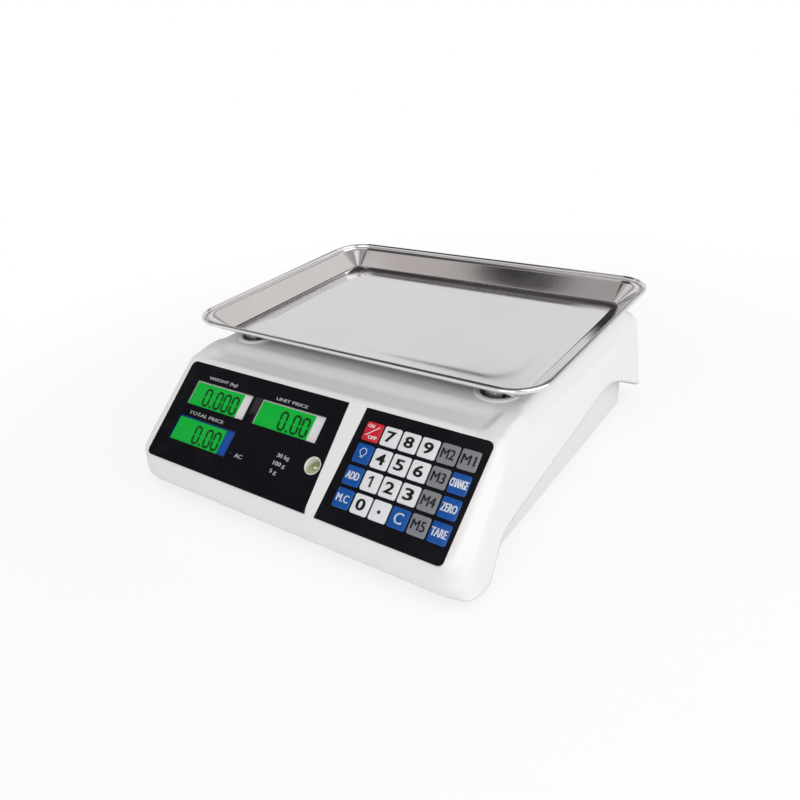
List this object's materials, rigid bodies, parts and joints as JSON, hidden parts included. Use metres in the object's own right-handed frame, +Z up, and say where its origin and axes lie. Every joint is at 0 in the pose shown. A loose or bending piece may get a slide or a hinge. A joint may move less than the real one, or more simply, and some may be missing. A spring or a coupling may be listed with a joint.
{
  "type": "retail price scale",
  "caption": "Counter-top price-computing scale with a removable steel pan, a sloping display and keypad panel, a bubble level and levelling feet.",
  "frame": {"origin": "on the table, at the middle of the scale's outline seen from above", "axes": "+X to the operator's right, +Y away from the operator towards the customer, +Z up"},
  "size_m": [0.34, 0.3419, 0.122],
  "materials": {
    "housing_white": "fine satin moulding",
    "tray_grey": "textured moulding",
    "window_dark": "glossy printed acrylic",
    "bezel_dark": "satin",
    "lcd_green": "backlit display glass",
    "board_green": "solder mask",
    "rubber_dark": "matt",
    "level_clear": "clear acrylic",
    "key_white": "satin with printed legend",
    "key_grey": "satin with printed legend",
    "key_blue": "satin with printed legend",
    "key_red": "satin with printed legend",
    "pan_steel": "bright polished",
    "leg_chrome": "bright",
    "cell_alloy": "milled",
    "spider_alloy": "as cast",
    "screw_steel": "zinc plated",
    "insert_brass": "turned",
    "battery_grey": "moulded case",
    "core_iron": "varnished laminations",
    "inlet_black": "moulded",
    "wheel_black": "moulded"
  },
  "bodies": {
    "base": {"upper_housing": "housing_white", "lower_housing": "tray_grey", "display_window": "window_dark", "keypad_bezel": "bezel_dark", "keypad_rubber_mat": "rubber_dark", "keypad_circuit_board": "board_green", "front_display_board": "board_green", "weight_lcd": "lcd_green", "unit_price_lcd": "lcd_green", "total_price_lcd": "lcd_green", "bubble_level": "level_clear", "rear_window": "window_dark", "rear_lcds": "lcd_green", "rear_display_board": "board_green", "main_board": "board_green", "battery": "battery_grey", "battery_door": "tray_grey", "mains_transformer": "core_iron", "power_inlet": "inlet_black", "load_cell": "cell_alloy", "load_cell_bolts": "screw_steel", "housing_screws": "screw_steel", "foot_inserts": "insert_brass"},
    "platform": {"platform_spider": "spider_alloy", "platform_bolts": "screw_steel", "platform_pads": "rubber_dark"},
    "pan": {"weighing_pan": "pan_steel", "pan_legs": "leg_chrome"},
    "foot_pad_fl": {"foot_pad_fl": "rubber_dark"},
    "foot_knob_fl": {"foot_knob_fl": "wheel_black"},
    "foot_pad_fr": {"foot_pad_fr": "rubber_dark"},
    "foot_knob_fr": {"foot_knob_fr": "wheel_black"},
    "foot_pad_rl": {"foot_pad_rl": "rubber_dark"},
    "foot_knob_rl": {"foot_knob_rl": "wheel_black"},
    "foot_pad_rr": {"foot_pad_rr": "rubber_dark"},
    "foot_knob_rr": {"foot_knob_rr": "wheel_black"},
    "key_mc": {"key_mc": "key_blue"},
    "key_0": {"key_0": "key_white"},
    "key_point": {"key_point": "key_white"},
    "key_c": {"key_c": "key_blue"},
    "key_m5": {"key_m5": "key_grey"},
    "key_tare": {"key_tare": "key_blue"},
    "key_add": {"key_add": "key_blue"},
    "key_1": {"key_1": "key_white"},
    "key_2": {"key_2": "key_white"},
    "key_3": {"key_3": "key_white"},
    "key_m4": {"key_m4": "key_grey"},
    "key_zero": {"key_zero": "key_blue"},
    "key_lamp": {"key_lamp": "key_blue"},
    "key_4": {"key_4": "key_white"},
    "key_5": {"key_5": "key_white"},
    "key_6": {"key_6": "key_white"},
    "key_m3": {"key_m3": "key_grey"},
    "key_change": {"key_change": "key_blue"},
    "key_on_off": {"key_on_off": "key_red"},
    "key_7": {"key_7": "key_white"},
    "key_8": {"key_8": "key_white"},
    "key_9": {"key_9": "key_white"},
    "key_m2": {"key_m2": "key_grey"},
    "key_m1": {"key_m1": "key_grey"}
  },
  "joints": [
    {"name": "platform_sink", "type": "slide", "parent": "base", "child": "platform", "axis": [0, 0, 1], "range_m": [-0.0005, 0], "stiffness_N_per_m": 200000, "springref_m": 0.0001, "deforming": ["load_cell"]},
    {"name": "pan_lift", "type": "slide", "parent": "platform", "child": "pan", "axis": [0, 0, 1], "range_m": [0, 0.05]},
    {"name": "foot_fl_height", "type": "slide", "parent": "base", "child": "foot_pad_fl", "axis": [0, 0, -1], "range_m": [0, 0.005]},
    {"name": "foot_fl_turn", "type": "hinge", "parent": "foot_pad_fl", "child": "foot_knob_fl", "pos_m": [-0.131, -0.123, 0.004], "axis": [0, 0, 1], "range_deg": [0, 1440]},
    {"name": "foot_fr_height", "type": "slide", "parent": "base", "child": "foot_pad_fr", "axis": [0, 0, -1], "range_m": [0, 0.005]},
    {"name": "foot_fr_turn", "type": "hinge", "parent": "foot_pad_fr", "child": "foot_knob_fr", "pos_m": [0.131, -0.123, 0.004], "axis": [0, 0, 1], "range_deg": [0, 1440]},
    {"name": "foot_rl_height", "type": "slide", "parent": "base", "child": "foot_pad_rl", "axis": [0, 0, -1], "range_m": [0, 0.005]},
    {"name": "foot_rl_turn", "type": "hinge", "parent": "foot_pad_rl", "child": "foot_knob_rl", "pos_m": [-0.131, 0.123, 0.004], "axis": [0, 0, 1], "range_deg": [0, 1440]},
    {"name": "foot_rr_height", "type": "slide", "parent": "base", "child": "foot_pad_rr", "axis": [0, 0, -1], "range_m": [0, 0.005]},
    {"name": "foot_rr_turn", "type": "hinge", "parent": "foot_pad_rr", "child": "foot_knob_rr", "pos_m": [0.131, 0.123, 0.004], "axis": [0, 0, 1], "range_deg": [0, 1440]},
    {"name": "key_mc_press", "type": "slide", "parent": "base", "child": "key_mc", "axis": [0, 0.6188, -0.7855], "range_m": [0, 0.0007], "stiffness_N_per_m": 600, "springref_m": -0.001},
    {"name": "key_0_press", "type": "slide", "parent": "base", "child": "key_0", "axis": [0, 0.6188, -0.7855], "range_m": [0, 0.0007], "stiffness_N_per_m": 600, "springref_m": -0.001},
    {"name": "key_point_press", "type": "slide", "parent": "base", "child": "key_point", "axis": [0, 0.6188, -0.7855], "range_m": [0, 0.0007], "stiffness_N_per_m": 600, "springref_m": -0.001},
    {"name": "key_c_press", "type": "slide", "parent": "base", "child": "key_c", "axis": [0, 0.6188, -0.7855], "range_m": [0, 0.0007], "stiffness_N_per_m": 600, "springref_m": -0.001},
    {"name": "key_m5_press", "type": "slide", "parent": "base", "child": "key_m5", "axis": [0, 0.6188, -0.7855], "range_m": [0, 0.0007], "stiffness_N_per_m": 600, "springref_m": -0.001},
    {"name": "key_tare_press", "type": "slide", "parent": "base", "child": "key_tare", "axis": [0, 0.6188, -0.7855], "range_m": [0, 0.0007], "stiffness_N_per_m": 600, "springref_m": -0.001},
    {"name": "key_add_press", "type": "slide", "parent": "base", "child": "key_add", "axis": [0, 0.6188, -0.7855], "range_m": [0, 0.0007], "stiffness_N_per_m": 600, "springref_m": -0.001},
    {"name": "key_1_press", "type": "slide", "parent": "base", "child": "key_1", "axis": [0, 0.6188, -0.7855], "range_m": [0, 0.0007], "stiffness_N_per_m": 600, "springref_m": -0.001},
    {"name": "key_2_press", "type": "slide", "parent": "base", "child": "key_2", "axis": [0, 0.6188, -0.7855], "range_m": [0, 0.0007], "stiffness_N_per_m": 600, "springref_m": -0.001},
    {"name": "key_3_press", "type": "slide", "parent": "base", "child": "key_3", "axis": [0, 0.6188, -0.7855], "range_m": [0, 0.0007], "stiffness_N_per_m": 600, "springref_m": -0.001},
    {"name": "key_m4_press", "type": "slide", "parent": "base", "child": "key_m4", "axis": [0, 0.6188, -0.7855], "range_m": [0, 0.0007], "stiffness_N_per_m": 600, "springref_m": -0.001},
    {"name": "key_zero_press", "type": "slide", "parent": "base", "child": "key_zero", "axis": [0, 0.6188, -0.7855], "range_m": [0, 0.0007], "stiffness_N_per_m": 600, "springref_m": -0.001},
    {"name": "key_lamp_press", "type": "slide", "parent": "base", "child": "key_lamp", "axis": [0, 0.6188, -0.7855], "range_m": [0, 0.0007], "stiffness_N_per_m": 600, "springref_m": -0.001},
    {"name": "key_4_press", "type": "slide", "parent": "base", "child": "key_4", "axis": [0, 0.6188, -0.7855], "range_m": [0, 0.0007], "stiffness_N_per_m": 600, "springref_m": -0.001},
    {"name": "key_5_press", "type": "slide", "parent": "base", "child": "key_5", "axis": [0, 0.6188, -0.7855], "range_m": [0, 0.0007], "stiffness_N_per_m": 600, "springref_m": -0.001},
    {"name": "key_6_press", "type": "slide", "parent": "base", "child": "key_6", "axis": [0, 0.6188, -0.7855], "range_m": [0, 0.0007], "stiffness_N_per_m": 600, "springref_m": -0.001},
    {"name": "key_m3_press", "type": "slide", "parent": "base", "child": "key_m3", "axis": [0, 0.6188, -0.7855], "range_m": [0, 0.0007], "stiffness_N_per_m": 600, "springref_m": -0.001},
    {"name": "key_change_press", "type": "slide", "parent": "base", "child": "key_change", "axis": [0, 0.6188, -0.7855], "range_m": [0, 0.0007], "stiffness_N_per_m": 600, "springref_m": -0.001},
    {"name": "key_on_off_press", "type": "slide", "parent": "base", "child": "key_on_off", "axis": [0, 0.6188, -0.7855], "range_m": [0, 0.0007], "stiffness_N_per_m": 600, "springref_m": -0.001},
    {"name": "key_7_press", "type": "slide", "parent": "base", "child": "key_7", "axis": [0, 0.6188, -0.7855], "range_m": [0, 0.0007], "stiffness_N_per_m": 600, "springref_m": -0.001},
    {"name": "key_8_press", "type": "slide", "parent": "base", "child": "key_8", "axis": [0, 0.6188, -0.7855], "range_m": [0, 0.0007], "stiffness_N_per_m": 600, "springref_m": -0.001},
    {"name": "key_9_press", "type": "slide", "parent": "base", "child": "key_9", "axis": [0, 0.6188, -0.7855], "range_m": [0, 0.0007], "stiffness_N_per_m": 600, "springref_m": -0.001},
    {"name": "key_m2_press", "type": "slide", "parent": "base", "child": "key_m2", "axis": [0, 0.6188, -0.7855], "range_m": [0, 0.0007], "stiffness_N_per_m": 600, "springref_m": -0.001},
    {"name": "key_m1_press", "type": "slide", "parent": "base", "child": "key_m1", "axis": [0, 0.6188, -0.7855], "range_m": [0, 0.0007], "stiffness_N_per_m": 600, "springref_m": -0.001}
  ],
  "couplings": [
    {"joint": "foot_fl_turn", "follows": "foot_fl_height", "rad_per_m": 5026.5},
    {"joint": "foot_fr_turn", "follows": "foot_fr_height", "rad_per_m": 5026.5},
    {"joint": "foot_rl_turn", "follows": "foot_rl_height", "rad_per_m": 5026.5},
    {"joint": "foot_rr_turn", "follows": "foot_rr_height", "rad_per_m": 5026.5}
  ]
}
